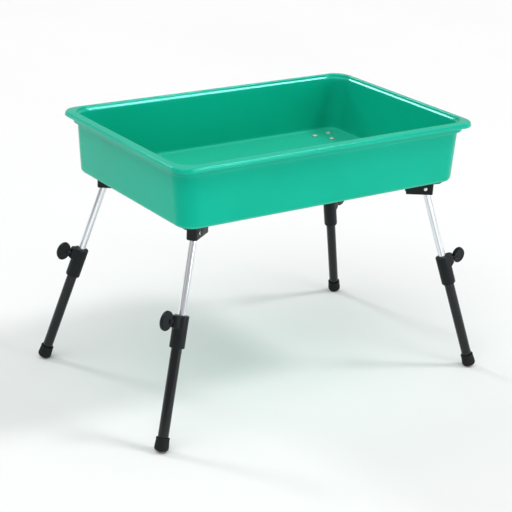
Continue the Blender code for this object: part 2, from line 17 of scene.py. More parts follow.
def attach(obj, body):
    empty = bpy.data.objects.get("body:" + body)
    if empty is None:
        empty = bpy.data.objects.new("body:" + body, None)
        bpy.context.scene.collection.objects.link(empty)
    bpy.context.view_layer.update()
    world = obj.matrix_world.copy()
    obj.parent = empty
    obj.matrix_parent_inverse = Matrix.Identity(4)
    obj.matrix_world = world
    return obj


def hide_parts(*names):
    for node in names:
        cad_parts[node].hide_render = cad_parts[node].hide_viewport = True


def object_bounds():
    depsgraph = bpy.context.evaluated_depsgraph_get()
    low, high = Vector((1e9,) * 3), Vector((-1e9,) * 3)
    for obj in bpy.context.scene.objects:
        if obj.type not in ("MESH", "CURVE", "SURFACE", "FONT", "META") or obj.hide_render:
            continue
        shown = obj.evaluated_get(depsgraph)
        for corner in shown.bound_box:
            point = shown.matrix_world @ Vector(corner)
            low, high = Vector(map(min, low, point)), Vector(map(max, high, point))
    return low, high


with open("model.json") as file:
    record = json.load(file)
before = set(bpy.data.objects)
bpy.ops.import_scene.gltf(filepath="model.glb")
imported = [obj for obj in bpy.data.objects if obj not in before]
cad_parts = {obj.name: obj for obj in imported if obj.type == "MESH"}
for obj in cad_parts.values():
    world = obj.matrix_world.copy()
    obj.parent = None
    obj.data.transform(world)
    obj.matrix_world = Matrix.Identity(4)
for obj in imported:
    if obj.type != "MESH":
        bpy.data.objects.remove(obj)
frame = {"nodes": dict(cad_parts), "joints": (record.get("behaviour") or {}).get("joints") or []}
cad_box = [list(corner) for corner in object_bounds()]

# %% [markdown]
# The camera stands where the photographer stood: a little above the rim, off the front left corner.
# A long lens keeps the tub's edges nearly parallel. The angles were found by fitting the table's
# straight edges and its four feet, and the small roll is the photographer's.

# %% The camera
FRAME_PIXELS = 512
FOCAL_PIXELS = 1491
SENSOR_MM = 36
CAMERA_YAW = math.radians(35.35)
CAMERA_PITCH = math.radians(-21.13)
CAMERA_ROLL = math.radians(2.62)
CAMERA_PLACE = (-1.4755, -2.0575, 1.1889)

forward = Vector((
    math.sin(CAMERA_YAW) * math.cos(CAMERA_PITCH),
    math.cos(CAMERA_YAW) * math.cos(CAMERA_PITCH),
    math.sin(CAMERA_PITCH),
))
level = Vector((math.cos(CAMERA_YAW), -math.sin(CAMERA_YAW), 0))
upward = level.cross(forward)
side = level * math.cos(CAMERA_ROLL) + upward * math.sin(CAMERA_ROLL)
top = upward * math.cos(CAMERA_ROLL) - level * math.sin(CAMERA_ROLL)

lens = bpy.data.cameras.new("camera")
lens.sensor_width = SENSOR_MM
lens.lens = FOCAL_PIXELS / FRAME_PIXELS * SENSOR_MM
camera = bpy.data.objects.new("camera", lens)
camera.matrix_world = Matrix((side, top, -forward)).transposed().to_4x4()
camera.matrix_world.translation = CAMERA_PLACE
bpy.context.scene.collection.objects.link(camera)
bpy.context.scene.camera = camera
print(f"lens {lens.lens:.1f} mm")

# %% [markdown]
# Every leg is described once and built four times. The working model's joints say where each leg
# is: the fold's place and axis give the pivot pin, the slide's axis runs up the leg, and the clamp's
# axis runs out along its screw. From these come three frames a corner, in which every piece is
# upright and simple to describe.

# %% The frames that the pieces are built in
CORNERS = ("front_left", "front_right", "back_left", "back_right")
joints = {joint["name"]: joint for joint in frame["joints"]}


def frame_at(origin, x, y, z):
    placed = Matrix((x, y, z)).transposed().to_4x4()
    placed.translation = origin
    return placed


def corner_frames(corner):
    """The upright frame at a corner's pivot, its leaning leg's frame, and its clamp's."""
    fold = joints[f"{corner}_fold"]
    clamp_turn = joints[f"{corner}_clamp_turn"]
    pivot = Vector(fold["pos_m"])
    pin = Vector(fold["axis"])
    up = Vector((0, 0, 1))
    along = Vector(joints[f"{corner}_extend"]["axis"])
    outward = Vector(clamp_turn["axis"])
    return {
        "upright": frame_at(pivot, pin.cross(up), pin, up),
        "leg": frame_at(pivot, pin.cross(along), pin, along),
        "clamp": frame_at(clamp_turn["pos_m"], along, outward.cross(along), outward),
    }


def extent(node, placed):
    """The lowest and highest corner of a node of the working model, measured in a frame."""
    back = placed.inverted()
    points = [back @ corner.co for corner in frame["nodes"][node].data.vertices]
    low = Vector(min(point[axis] for point in points) for axis in range(3))
    high = Vector(max(point[axis] for point in points) for axis in range(3))
    return low, high


places = {corner: corner_frames(corner) for corner in CORNERS}
first = CORNERS[0]
tube_low, tube_high = extent(f"{first}_inner_tube", places[first]["leg"])
print(f"inner tube {2000 * tube_high.x:.2f} mm across, {1000 * (tube_high.z - tube_low.z):.1f} mm long")

# %% [markdown]
# Materials are built from nodes. One function adds a node with its settings and its links, and a
# second one turns a colour as a designer writes it (sRGB hex) into the linear light that a renderer
# works in. Patterns are sized by their real spacing: a texture's scale is how many times it repeats
# in a metre.

# %% Small tools for materials
MM = 0.001


def add(tree, kind, values=None, links=None, **settings):
    """Adds a node: its settings, the values of its inputs, and what feeds them."""
    node = tree.nodes.new(kind)
    for name, value in settings.items():
        setattr(node, name, value)
    for socket, value in (values or {}).items():
        node.inputs[socket].default_value = value
    for socket, source in (links or {}).items():
        tree.links.new(source, node.inputs[socket])
    return node


def colour(code):
    """An sRGB hex colour as linear red, green, blue and alpha."""
    parts = [int(code[i : i + 2], 16) / 255 for i in (1, 3, 5)]
    linear = [part / 12.92 if part <= 0.04045 else ((part + 0.055) / 1.055) ** 2.4 for part in parts]
    return (*linear, 1.0)


def repeats(spacing):
    """The texture scale whose pattern has this spacing in metres."""
    return 1 / spacing


def new_material(name):
    """An empty material, and the place of each point in its own piece's frame."""
    material = bpy.data.materials.new(name)
    material.use_nodes = True
    material.node_tree.nodes.clear()
    place = add(material.node_tree, "ShaderNodeTexCoord").outputs["Object"]
    return material, material.node_tree, place


def finish_material(tree, values, links):
    """Adds the shader. A value that is the same all over is set on the shader's own input."""
    shader = add(tree, "ShaderNodeBsdfPrincipled", values, links)
    add(tree, "ShaderNodeOutputMaterial", links={"Surface": shader.outputs["BSDF"]})


print("mid green in linear light:", [round(part, 3) for part in colour("#0DB494")])

# %% [markdown]
# The tub is injection moulded polypropylene. The steel mould is polished, so the plastic takes a
# soft gloss, but it shrinks a little unevenly as it cools, and that leaves long faint waves that
# bend a reflection. The pigment is nearly free of red: where the walls look paler, that is the
# studio mirrored in their gloss, which the pigment tints. The colour drifts only slightly, along
# the way the melt flowed. Handling leaves the gloss a little patchy. The floor of the mould is
# etched, so the tub's floor comes out matt. The floor's colour is also painted paler than the
# walls. That is painted light, a painted reflection of the bright studio that the floor mirrors.
# The rim is gripped and wiped most, so it shines a little more, and draws the bright lines along
# its edges.

# %% Moulded polypropylene, sea green
FLOW_SPACING = 160 * MM
WAVE_SPACING = 60 * MM
WAVE_HEIGHT = 0.2 * MM
RIPPLE_SPACING = 14 * MM
RIPPLE_HEIGHT = 0.012 * MM
# Below this height the tub's floor is etched matt, and its colour is painted paler there as painted light.
MATT_AND_PAINTED_LIGHT_BELOW = 371 * MM  # the tub's floor lies just under this height, and is etched for grip
MATT_AND_PAINTED_LIGHT_FADE = 2 * MM
MATT_ROUGHNESS = 0.5
SHINE_ABOVE = 452 * MM  # the rim and its skirt are higher than this
SHINE_FADE = 8 * MM
WALL_SHINE = 0.22
RIM_SHINE = 0.5


def moulded_polypropylene():
    material, tree, place = new_material("moulded_polypropylene_sea_green")
    flow = add(
        tree, "ShaderNodeTexNoise",
        {"Scale": repeats(FLOW_SPACING), "Detail": 3, "Distortion": 0.8}, {"Vector": place},
    )
    tint = add(
        tree, "ShaderNodeMix",
        {6: colour("#08A98B"), 7: colour("#0EB899")}, {0: flow.outputs["Fac"]}, data_type="RGBA",
    )
    handling = add(
        tree, "ShaderNodeTexNoise",
        {"Scale": repeats(WAVE_SPACING), "Detail": 4, "Roughness": 0.55}, {"Vector": place},
    )
    gloss = add(
        tree, "ShaderNodeMapRange",
        {"From Min": 0.3, "From Max": 0.7, "To Min": 0.1, "To Max": 0.17},
        {"Value": handling.outputs["Fac"]},
    )
    height = add(tree, "ShaderNodeSeparateXYZ", links={"Vector": place}).outputs["Z"]
    # This mask sets the floor's matt roughness. It also places the painted light of the floor's paler colour.
    matt = add(
        tree, "ShaderNodeMapRange",
        {"From Min": MATT_AND_PAINTED_LIGHT_BELOW, "From Max": MATT_AND_PAINTED_LIGHT_BELOW + MATT_AND_PAINTED_LIGHT_FADE, "To Min": MATT_ROUGHNESS, "To Max": 0.0},
        {"Value": height},
    )
    roughness = add(
        tree, "ShaderNodeMath", links={0: gloss.outputs["Result"], 1: matt.outputs["Result"]},
        operation="MAXIMUM",
    )
    shine = add(
        tree, "ShaderNodeMapRange",
        {
            "From Min": SHINE_ABOVE, "From Max": SHINE_ABOVE + SHINE_FADE,
            "To Min": WALL_SHINE, "To Max": RIM_SHINE,
        },
        {"Value": height},
    )
    # Painted light: on the floor the colour is mixed towards a paler green. This is a painted reflection of
    # the bright studio that the floor mirrors.
    painted_floor_light = add(
        tree, "ShaderNodeMix", {7: colour("#37C5A3")},
        {0: matt.outputs["Result"], 6: tint.outputs[2]}, data_type="RGBA",
    )
    wave = add(
        tree, "ShaderNodeTexNoise",
        {"Scale": repeats(WAVE_SPACING), "Detail": 1}, {"Vector": place},
    )
    wave_bump = add(
        tree, "ShaderNodeBump",
        {"Strength": 1.0, "Distance": WAVE_HEIGHT}, {"Height": wave.outputs["Fac"]},
    )
    ripple = add(
        tree, "ShaderNodeTexNoise",
        {"Scale": repeats(RIPPLE_SPACING), "Detail": 1}, {"Vector": place},
    )
    ripple_bump = add(
        tree, "ShaderNodeBump",
        {"Strength": 1.0, "Distance": RIPPLE_HEIGHT},
        {"Height": ripple.outputs["Fac"], "Normal": wave_bump.outputs["Normal"]},
    )
    finish_material(
        tree,
        {"IOR": 1.49, "Metallic": 0.0, "Specular Tint": (0.25, 1.0, 0.95, 1.0)},
        {
            "Base Color": painted_floor_light.outputs[2],
            "Specular IOR Level": shine.outputs["Result"],
            "Roughness": roughness.outputs["Value"],
            "Normal": ripple_bump.outputs["Normal"],
        },
    )
    return material


POLYPROPYLENE = moulded_polypropylene()
print(POLYPROPYLENE.name, "flows over", round(FLOW_SPACING / MM), "mm")

# %% [markdown]
# Brackets, collars and knobs are nylon filled with short glass fibre. Their mould is spark eroded,
# which covers it with tiny pits, so the plastic comes out black and satin with a fine pebbled grain.
# The fibres near the surface grey it slightly in places.

# %% Moulded nylon, black
PEBBLE_SPACING = 0.9 * MM  # about twice the real one, so that it shows
PEBBLE_HEIGHT = 0.03 * MM
FIBRE_SPACING = 14 * MM


def moulded_nylon():
    material, tree, place = new_material("glass_filled_nylon_black")
    fibres = add(
        tree, "ShaderNodeTexNoise",
        {"Scale": repeats(FIBRE_SPACING), "Detail": 5, "Roughness": 0.65}, {"Vector": place},
    )
    tint = add(
        tree, "ShaderNodeMix",
        {6: colour("#0A0F11"), 7: colour("#131A1D")}, {0: fibres.outputs["Fac"]}, data_type="RGBA",
    )
    pebbles = add(
        tree, "ShaderNodeTexVoronoi",
        {"Scale": repeats(PEBBLE_SPACING)}, {"Vector": place}, feature="SMOOTH_F1",
    )
    bump = add(
        tree, "ShaderNodeBump",
        {"Strength": 0.5, "Distance": PEBBLE_HEIGHT}, {"Height": pebbles.outputs["Distance"]},
    )
    satin = add(
        tree, "ShaderNodeMapRange",
        {"From Min": 0.3, "From Max": 0.7, "To Min": 0.36, "To Max": 0.5},
        {"Value": fibres.outputs["Fac"]},
    )
    finish_material(
        tree,
        {"IOR": 1.53, "Specular IOR Level": 0.2, "Metallic": 0.0},
        {
            "Base Color": tint.outputs[2],
            "Roughness": satin.outputs["Result"],
            "Normal": bump.outputs["Normal"],
        },
    )
    return material


NYLON = moulded_nylon()
print(NYLON.name, "pebbles every", PEBBLE_SPACING / MM, "mm")

# %% [markdown]
# The outer tubes are drawn aluminium under a black powder coat. Powder melts and levels in an oven,
# and leaves a skin like orange peel, smoother than the nylon beside it, so it carries long soft
# highlights down the leg.

# %% Powder coat, black
PEEL_SPACING = 2.2 * MM
PEEL_HEIGHT = 0.012 * MM


def powder_coat():
    material, tree, place = new_material("powder_coat_black")
    peel = add(
        tree, "ShaderNodeTexNoise",
        {"Scale": repeats(PEEL_SPACING), "Detail": 2}, {"Vector": place},
    )
    bump = add(
        tree, "ShaderNodeBump",
        {"Strength": 1.0, "Distance": PEEL_HEIGHT}, {"Height": peel.outputs["Fac"]},
    )
    thickness = add(
        tree, "ShaderNodeTexNoise",
        {"Scale": repeats(12 * PEEL_SPACING), "Detail": 3}, {"Vector": place},
    )
    tint = add(
        tree, "ShaderNodeMix",
        {6: colour("#06090B"), 7: colour("#0C1215")}, {0: thickness.outputs["Fac"]}, data_type="RGBA",
    )
    sheen = add(
        tree, "ShaderNodeMapRange",
        {"From Min": 0.3, "From Max": 0.7, "To Min": 0.14, "To Max": 0.24},
        {"Value": thickness.outputs["Fac"]},
    )
    finish_material(
        tree,
        {"IOR": 1.55, "Specular IOR Level": 0.35, "Metallic": 0.0},
        {
            "Base Color": tint.outputs[2],
            "Roughness": sheen.outputs["Result"],
            "Normal": bump.outputs["Normal"],
        },
    )
    return material


POWDER_COAT = powder_coat()
print(POWDER_COAT.name, "peels over", PEEL_SPACING / MM, "mm")

# %% [markdown]
# The inner tubes are drawn and clear anodised aluminium. Drawing pulls the tube through a die, which
# leaves hairlines along its length, and broader streaks where the die is worn. The streaks run the
# whole way down, and show as grey lines beside bright ones. Each tube's own frame has its Z along
# the leg, so a texture squeezed along Z gives both.

# %% Drawn aluminium, clear anodised
HAIRLINE_SPACING = 0.7 * MM  # a few real hairlines in one, so that they show
HAIRLINE_LENGTH = 60 * MM
HAIRLINE_DEPTH = 0.006 * MM
STREAK_SPACING = 3.2 * MM
STREAK_LENGTH = 900 * MM


def drawn_aluminium():
    material, tree, place = new_material("drawn_aluminium_clear_anodised")
    stretched = add(
        tree, "ShaderNodeMapping",
        {"Scale": (1, 1, HAIRLINE_SPACING / HAIRLINE_LENGTH)}, {"Vector": place},
    )
    hairlines = add(
        tree, "ShaderNodeTexNoise",
        {"Scale": repeats(HAIRLINE_SPACING), "Detail": 3}, {"Vector": stretched.outputs["Vector"]},
    )
    bump = add(
        tree, "ShaderNodeBump",
        {"Strength": 0.7, "Distance": HAIRLINE_DEPTH}, {"Height": hairlines.outputs["Fac"]},
    )
    drawn_out = add(
        tree, "ShaderNodeMapping",
        {"Scale": (1, 1, STREAK_SPACING / STREAK_LENGTH)}, {"Vector": place},
    )
    streaks = add(
        tree, "ShaderNodeTexNoise",
        {"Scale": repeats(STREAK_SPACING), "Detail": 1}, {"Vector": drawn_out.outputs["Vector"]},
    )
    band = add(
        tree, "ShaderNodeMapRange",
        {"From Min": 0.38, "From Max": 0.52}, {"Value": streaks.outputs["Fac"]},
    )
    tint = add(
        tree, "ShaderNodeMix",
        {6: colour("#C6CCD6"), 7: colour("#FFFFFF")}, {0: band.outputs["Result"]},
        data_type="RGBA",
    )
    brightness = add(
        tree, "ShaderNodeMapRange",
        {"From Min": 0.3, "From Max": 0.7, "To Min": 0.14, "To Max": 0.26},
        {"Value": hairlines.outputs["Fac"]},
    )
    finish_material(
        tree,
        {"Metallic": 1.0},
        {
            "Base Color": tint.outputs[2],
            "Roughness": brightness.outputs["Result"],
            "Normal": bump.outputs["Normal"],
        },
    )
    return material


ALUMINIUM = drawn_aluminium()
print(ALUMINIUM.name, "hairlines every", HAIRLINE_SPACING / MM, "mm")

# %% [markdown]
# The feet are compression moulded rubber: black, nearly matt, with a dusty bloom that greys it where
# it isn't rubbed. Screws, pins and rivets are steel with a thin bright zinc plating, which clouds in
# soft crystals, so it shines softly and gives no clear mirror image.

# %% Rubber and zinc plated steel
BLOOM_SPACING = 7 * MM
SKIN_SPACING = 0.6 * MM
SKIN_HEIGHT = 0.03 * MM
CRYSTAL_SPACING = 1.5 * MM


def moulded_rubber():
    material, tree, place = new_material("moulded_rubber_black")
    bloom = add(
        tree, "ShaderNodeTexNoise",
        {"Scale": repeats(BLOOM_SPACING), "Detail": 6, "Roughness": 0.7}, {"Vector": place},
    )
    tint = add(
        tree, "ShaderNodeMix",
        {6: colour("#090A0B"), 7: colour("#141617")}, {0: bloom.outputs["Fac"]}, data_type="RGBA",
    )
    skin = add(
        tree, "ShaderNodeTexNoise",
        {"Scale": repeats(SKIN_SPACING), "Detail": 2}, {"Vector": place},
    )
    bump = add(
        tree, "ShaderNodeBump",
        {"Strength": 0.8, "Distance": SKIN_HEIGHT}, {"Height": skin.outputs["Fac"]},
    )
    matt = add(
        tree, "ShaderNodeMapRange",
        {"From Min": 0.3, "From Max": 0.7, "To Min": 0.55, "To Max": 0.75},
        {"Value": bloom.outputs["Fac"]},
    )
    finish_material(
        tree,
        {"IOR": 1.52, "Specular IOR Level": 0.25, "Metallic": 0.0},
        {
            "Base Color": tint.outputs[2],
            "Roughness": matt.outputs["Result"],
            "Normal": bump.outputs["Normal"],
        },
    )
    return material


def zinc_plated_steel():
    material, tree, place = new_material("zinc_plated_steel")
    crystals = add(
        tree, "ShaderNodeTexVoronoi",
        {"Scale": repeats(CRYSTAL_SPACING)}, {"Vector": place}, feature="SMOOTH_F1",
    )
    tint = add(
        tree, "ShaderNodeMix",
        {6: colour("#DCDEE0"), 7: colour("#F4F5F6")}, {0: crystals.outputs["Distance"]},
        data_type="RGBA",
    )
    cloud = add(
        tree, "ShaderNodeMapRange",
        {"From Min": 0.0, "From Max": 0.6, "To Min": 0.36, "To Max": 0.5},
        {"Value": crystals.outputs["Distance"]},
    )
    finish_material(
        tree,
        {"Metallic": 1.0},
        {"Base Color": tint.outputs[2], "Roughness": cloud.outputs["Result"]},
    )
    return material


RUBBER = moulded_rubber()
STEEL = zinc_plated_steel()
print(RUBBER.name, "and", STEEL.name)

# %% [markdown]
# Meshes. Most pieces are turned on a lathe or cast in a two-part mould, so two tools make nearly all
# of them: one turns a profile round an axis, and one wraps a skin round a few discs. Real edges are
# never sharp, and a rounded one catches a thin line of light. A third value on a profile's point is
# the radius that the corner there is rounded to.

# %% Profiles and turned meshes
ROUND_STEPS = 72
FILLET_STEPS = 4
TINY = 1e-7


def soften(points):
    """Rounds the corners of a profile where a point has a third value."""
    softened = []
    for i, point in enumerate(points):
        corner = Vector(point[:2])
        if len(point) == 2:
            softened.append(corner)
            continue
        before = (Vector(points[i - 1][:2]) - corner).normalized()
        after = (Vector(points[(i + 1) % len(points)][:2]) - corner).normalized()
        half = before.angle(after) / 2
        centre = corner + (before + after).normalized() * point[2] / math.sin(half)
        start = corner + before * point[2] / math.tan(half) - centre
        end = corner + after * point[2] / math.tan(half) - centre
        for step in range(FILLET_STEPS + 1):
            share = step / FILLET_STEPS
            softened.append(centre + start.lerp(end, share).normalized() * point[2])
    return softened


def turned_mesh(profile, closed=False, steps=ROUND_STEPS):
    """Turns (radius, height) points round Z. They run down the outer side of the piece."""
    shape = bmesh.new()
    rings = []
    for radius, height in soften(profile):
        count = 1 if radius < TINY else steps
        angles = [2 * math.pi * step / count for step in range(count)]
        rings.append([
            shape.verts.new((radius * math.cos(angle), radius * math.sin(angle), height))
            for angle in angles
        ])
    if closed:
        rings.append(rings[0])
    for upper, lower in zip(rings, rings[1:]):
        for i in range(steps):
            j = (i + 1) % steps
            corners = [upper[i % len(upper)], lower[i % len(lower)]]
            corners += [lower[j % len(lower)], upper[j % len(upper)]]
            corners = list(dict.fromkeys(corners))
            if len(corners) > 2:
                shape.faces.new(corners)
    return mesh_from(shape)


def mesh_from(shape):
    bmesh.ops.recalc_face_normals(shape, faces=shape.faces)
    mesh = bpy.data.meshes.new("shape")
    shape.to_mesh(mesh)
    shape.free()
    return mesh


washer = turned_mesh([(5 * MM, 0), (5 * MM, -MM, 0.3 * MM), (3 * MM, -MM), (3 * MM, 0)], closed=True)
print("a trial washer has", len(washer.polygons), "faces")
bpy.data.meshes.remove(washer)

# %% [markdown]
# A cast piece is several simple forms joined, with holes cut through. Booleans do the joining and
# the cutting. A bevel then rounds every edge that is left, as the mould's own radius does. The
# modifiers are applied at once, so that each finished piece is a plain mesh.

# %% Joining, cutting and placing pieces
SMOOTH_ANGLE = math.radians(32)
EDGE_ANGLE = math.radians(28)


def loose_object(name, mesh, placed=None):
    obj = bpy.data.objects.new(name, mesh)
    bpy.context.scene.collection.objects.link(obj)
    if placed is not None:
        obj.matrix_world = placed
    return obj


def shaped(mesh, joins=(), cuts=(), edge=0.0):
    """The mesh after others are joined on and cut away and its edges are rounded to edge."""
    body = loose_object("shaping", mesh)
    helpers = []
    for operation, others in (("UNION", joins), ("DIFFERENCE", cuts)):
        for other in others:
            helpers.append(loose_object("shaping_helper", other))
            boolean = body.modifiers.new("boolean", "BOOLEAN")
            boolean.operation = operation
            boolean.object = helpers[-1]
    if edge:
        bevel = body.modifiers.new("edges", "BEVEL")
        bevel.width = edge
        bevel.segments = 2
        bevel.limit_method = "ANGLE"
        bevel.angle_limit = EDGE_ANGLE
    bpy.context.view_layer.update()
    result = bpy.data.meshes.new_from_object(
        body.evaluated_get(bpy.context.evaluated_depsgraph_get())
    )
    for obj in (body, *helpers):
        bpy.data.objects.remove(obj)
    return result


def place_piece(name, mesh, placed, material, body, node):
    """Puts a finished piece on its body, in place of the working model's node."""
    mesh.name = name
    mesh.materials.clear()
    mesh.materials.append(material)
    mesh.shade_smooth()
    mesh.set_sharp_from_angle(angle=SMOOTH_ANGLE)
    piece = loose_object(name, mesh, placed)
    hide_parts(node)
    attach(piece, body)
    return piece


def turn_mesh(mesh, angle, axis, shift=(0, 0, 0)):
    """Turns a mesh about an axis of its own frame, and then moves it."""
    mesh.transform(Matrix.Translation(shift) @ Matrix.Rotation(angle, 4, axis))
    return mesh


def rod_mesh(radius, low, high, steps=ROUND_STEPS):
    """A plain rod along Z, for joining and cutting."""
    return turned_mesh([(0, high), (radius, high), (radius, low), (0, low)], steps=steps)


print("edges sharper than", round(math.degrees(EDGE_ANGLE)), "degrees get a radius")

# %% [markdown]
# The tub is one loft. Its outline is a rectangle with round corners, drawn at one height after
# another: up the outside from the bottom fillet, under a shallow skirt, round the rolled hem, over
# the dished rim, and down the inside past a small shoulder to the floor. Three things give it its
# look: the rim's two rounded edges, each with its line of light, the dish between them, and the
# corners, whose radius grows from the rim's outside to its mouth. Low round seats on the floor carry
# the rivet heads.

# %% The tub's sizes
TUB_LENGTH = 620 * MM
TUB_WIDTH = 400 * MM
TUB_DEPTH = 112 * MM
END_TAPER = 22.5 * MM
SIDE_TAPER = 16 * MM
TUB_WALL = 3 * MM
TUB_FLOOR = 4 * MM
GUTTER = 1 * MM
GUTTER_WIDTH = 3 * MM
BASE_CORNER = 30 * MM
BASE_FILLET = 9 * MM
INNER_FILLET = 7 * MM
RIM_REACH = 14 * MM
RIM_CORNER = 28 * MM
MOUTH_CORNER = 34 * MM
RIM_FALL = 1.8 * MM
RIM_DISH = 0.5 * MM
OUTER_EDGE = 3.2 * MM
MOUTH_EDGE = 2.8 * MM
LIP_LEAN = 0.8 * MM
LIP_WALL = 3 * MM
LIP_DROP = 10.5 * MM
HEM_RADIUS = 2.3 * MM
SKIRT_REACH = 10 * MM
SKIRT_DROP = 20 * MM
SKIRT_EDGE = 1.5 * MM
SKIRT_LAP = 0.4 * MM
SHOULDER_DROP = 4.5 * MM
SHOULDER_WIDTH = 3.4 * MM
SHOULDER_HEIGHT = 4.2 * MM
SHOULDER_TOP_ROUND = 1.2 * MM
SHOULDER_LOW_ROUND = 1.6 * MM
PIVOT_DROP = 17 * MM  # from the tub's underside down to the pivots
RIVET_PLACES = ((-24 * MM, -17.5 * MM), (-24 * MM, 17.5 * MM), (7.5 * MM, 0))  # round each pivot
SEAT_RADIUS = 6.6 * MM  # of the low seats that the rivet heads sit on
SEAT_HEIGHT = 0.4 * MM
CORNER_STEPS = 20
ARC_STEPS = 9
WALL_RINGS = 8
RIM_TOP = cad_box[1][2]

base_length = TUB_LENGTH - 2 * END_TAPER
base_width = TUB_WIDTH - 2 * SIDE_TAPER
print(f"rim {RIM_TOP / MM:.1f} mm up, bottom {base_length / MM:.0f} by {base_width / MM:.0f} mm")


# %% The tub's outlines
def outline(length, width, corner, height):
    """A level rectangle with round corners, counter-clockwise from its +X side."""
    points = []
    for turn, (side_x, side_y) in enumerate(((1, 1), (-1, 1), (-1, -1), (1, -1))):
        for step in range(CORNER_STEPS + 1):
            angle = (turn + step / CORNER_STEPS) * math.pi / 2
            x = side_x * (length / 2 - corner) + corner * math.cos(angle)
            y = side_y * (width / 2 - corner) + corner * math.sin(angle)
            points.append(Vector((x, y, height)))
    return points


def arc(centre, radius, start, end):
    """Points round a centre in the wall's section: 0 degrees points inward and 90 down."""
    for step in range(ARC_STEPS + 1):
        angle = math.radians(start + (end - start) * step / ARC_STEPS)
        yield centre[0] + radius * math.cos(angle), centre[1] + radius * math.sin(angle)


def rim_ring(inward, drop):
    corner = RIM_CORNER + (MOUTH_CORNER - RIM_CORNER) * inward / RIM_REACH
    return outline(TUB_LENGTH - 2 * inward, TUB_WIDTH - 2 * inward, corner, RIM_TOP - drop)


def base_ring(inward, drop):
    return outline(
        base_length - 2 * inward, base_width - 2 * inward, BASE_CORNER - inward, RIM_TOP - drop
    )


def wall_between(lower, upper):
    """Rings between two outlines, so that the wall's shading runs evenly."""
    for step in range(1, WALL_RINGS):
        yield [low.lerp(high, step / WALL_RINGS) for low, high in zip(lower, upper)]


def rim_profile():
    """The rim's section as (inward, drop) points, from under the skirt to the inner wall."""
    reach = RIM_REACH + SHOULDER_WIDTH
    inside = LIP_LEAN + LIP_WALL
    hem = (HEM_RADIUS, LIP_DROP - HEM_RADIUS)
    outer = (LIP_LEAN + OUTER_EDGE, RIM_FALL + OUTER_EDGE)
    mouth = (RIM_REACH - MOUTH_EDGE, MOUTH_EDGE)
    under = soften([
        (reach - TUB_WALL + SKIRT_LAP, SKIRT_DROP + SKIRT_EDGE),
        (reach - TUB_WALL + SKIRT_LAP, SKIRT_DROP, SKIRT_EDGE / 3),
        (SKIRT_REACH, SKIRT_DROP, SKIRT_EDGE),
        (SKIRT_REACH, TUB_WALL + RIM_FALL, SKIRT_EDGE),
        (inside, TUB_WALL + RIM_FALL, SKIRT_EDGE / 2),
        (inside, hem[1] - SKIRT_EDGE),
    ])
    over = [
        *arc(hem, HEM_RADIUS, 0, 180),
        *arc(outer, OUTER_EDGE, 180, 270),
        ((outer[0] + mouth[0]) / 2, RIM_FALL / 2 + RIM_DISH),
        *arc(mouth, MOUTH_EDGE, -90, 0),
    ]
    shoulder = soften([
        over[-1],
        (RIM_REACH + SHOULDER_WIDTH * 0.1, SHOULDER_DROP, SHOULDER_TOP_ROUND),
        (
            RIM_REACH + SHOULDER_WIDTH * 0.9,
            SHOULDER_DROP + SHOULDER_HEIGHT * 0.6,
            SHOULDER_LOW_ROUND,
        ),
        (reach, SHOULDER_DROP + SHOULDER_HEIGHT),
    ])
    return [*(tuple(point) for point in under[1:]), *over, *(tuple(point) for point in shoulder[1:])]


print("the rim's section has", len(rim_profile()), "points")


# %% The tub
def tub_mesh():
    low = TUB_DEPTH - BASE_FILLET
    outside = [base_ring(*point) for point in arc((BASE_FILLET, low), BASE_FILLET, 90, 180)]
    rim = [rim_ring(*point) for point in rim_profile()]
    gutter = TUB_DEPTH - TUB_FLOOR + GUTTER
    fillet = (TUB_WALL + INNER_FILLET, gutter - INNER_FILLET)
    inside = [base_ring(*point) for point in arc(fillet, INNER_FILLET, 180, 90)]
    edge = fillet[0] + GUTTER_WIDTH
    inside.append(base_ring(edge, gutter))
    inside.append(base_ring(edge + GUTTER, gutter - GUTTER))

    rings = [*outside, *wall_between(outside[-1], rim[0]), *rim]
    rings += [*wall_between(rim[-1], inside[0]), *inside]
    shape = bmesh.new()
    loops = [[shape.verts.new(point) for point in ring] for ring in rings]
    for lower, upper in zip(loops, loops[1:]):
        for i in range(len(lower)):
            j = (i + 1) % len(lower)
            shape.faces.new((lower[i], lower[j], upper[j], upper[i]))
    shape.faces.new(loops[0])
    shape.faces.new(loops[-1])
    seats = []
    for corner in CORNERS:
        for x, y in RIVET_PLACES:
            seat = rod_mesh(SEAT_RADIUS, PIVOT_DROP + TUB_FLOOR / 2, PIVOT_DROP + TUB_FLOOR + SEAT_HEIGHT)
            seat.transform(places[corner]["upright"] @ Matrix.Translation((x, y, 0)))
            seats.append(seat)
    return shaped(mesh_from(shape), seats)


ROOT = "table_top"
tub = place_piece(
    "moulded_tub", tub_mesh(), Matrix.Identity(4), POLYPROPYLENE, ROOT, "tub"
)
print("tub:", len(tub.data.polygons), "faces")

# %% [markdown]
# Each bracket is one nylon casting: a plate with a round nose, riveted up against the tub's floor,
# and a deep channel whose two cheeks hold the leg and its pin. A skin wrapped round three discs
# makes the plate, and a box with a rounded nose makes the channel. The gap for the leg is cut
# through, with an outer end that slopes like the standing leg, which rests on it.

# %% The bracket's sizes
SEAT_GAP = 0.3 * MM
PLATE = 5 * MM
LOBE_RADIUS = 12 * MM
NOSE_LOBE = 15 * MM
NOSE_LOBE_RADIUS = 14.5 * MM
CHANNEL_INWARD = 34.5 * MM
CHANNEL_OUTWARD = 14.5 * MM
CHANNEL_DEPTH = 28 * MM
CHANNEL_CORNER = 5 * MM
CHEEK = 2.7 * MM
TUBE_PLAY = 0.45 * MM
MOULD_EDGE = 0.7 * MM
CAST_EDGE = 0.35 * MM
EYE_ROOM = 4 * MM  # past the leg's stop, over the knuckle's eye
EYE_ROOM_HEIGHT = 2.2 * MM
RIVET_HOLE = 2.3 * MM
PIN_HOLE = 2.45 * MM

